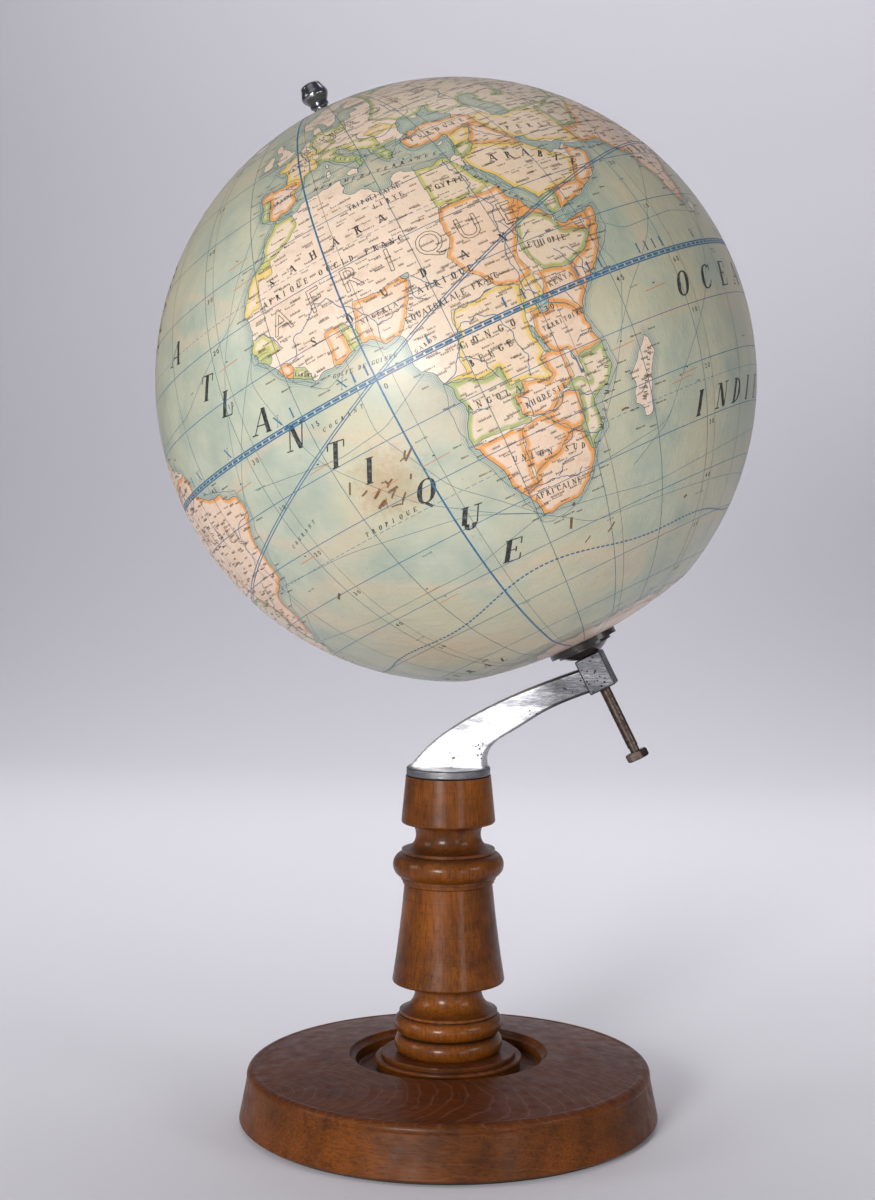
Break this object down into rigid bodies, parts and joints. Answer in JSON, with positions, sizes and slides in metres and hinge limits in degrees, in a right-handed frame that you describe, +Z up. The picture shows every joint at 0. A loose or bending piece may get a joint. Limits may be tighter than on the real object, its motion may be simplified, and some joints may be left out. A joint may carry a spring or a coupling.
{
  "type": "desktop globe",
  "caption": "Terrestrial desk globe turning on a tilted axle, carried by a cast curved arm on a turned wooden column and round wooden base.",
  "frame": {"origin": "centre of the underside, on the axis of the turned column", "axes": "+Z up along the column; +X towards the arm's boss and the globe's south pole; the polar axis lies in the XZ plane"},
  "size_m": [0.33, 0.33, 0.5818],
  "materials": {
    "felt": "felt",
    "wood": "varnished beech",
    "inner_wood": "bare turned wood",
    "cast_aluminium": "filed and rubbed casting",
    "steel": "plain",
    "axle_steel": "browned by age",
    "polished_steel": "polished",
    "brass": "turned",
    "dark_hub": "ebonised",
    "papier_mache": "pressed paper pulp",
    "linen": "glued linen",
    "map_paper": "printed and varnished paper"
  },
  "bodies": {
    "stand": {"base_felt": "felt", "base_plinth": "wood", "column": "wood", "tie_rod": "steel", "tie_washer": "steel", "tie_nut": "steel", "arm": "cast_aluminium", "arm_dowel": "steel"},
    "axle": {"axle_bolt": "axle_steel", "north_washer": "steel", "finial": "polished_steel"},
    "globe": {"south_flange": "dark_hub", "south_collar": "dark_hub", "north_bush": "brass", "south_bush": "brass", "core_post": "inner_wood", "north_shell": "papier_mache", "south_shell": "papier_mache", "north_plug": "inner_wood", "south_plug": "inner_wood", "north_calotte": "map_paper", "south_calotte": "map_paper", "equator_strip": "linen", "map_gore_01": "map_paper", "map_gore_02": "map_paper", "map_gore_03": "map_paper", "map_gore_04": "map_paper", "map_gore_05": "map_paper", "map_gore_06": "map_paper", "map_gore_07": "map_paper", "map_gore_08": "map_paper", "map_gore_09": "map_paper", "map_gore_10": "map_paper", "map_gore_11": "map_paper", "map_gore_12": "map_paper"}
  },
  "joints": [
    {"name": "axle_lift", "type": "slide", "parent": "stand", "child": "axle", "axis": [-0.4462, 0, 0.8949], "range_m": [0, 0.038]},
    {"name": "globe_spin", "type": "hinge", "parent": "axle", "child": "globe", "pos_m": [0.004, 0, 0.4137], "axis": [-0.4462, 0, 0.8949], "continuous": true}
  ]
}
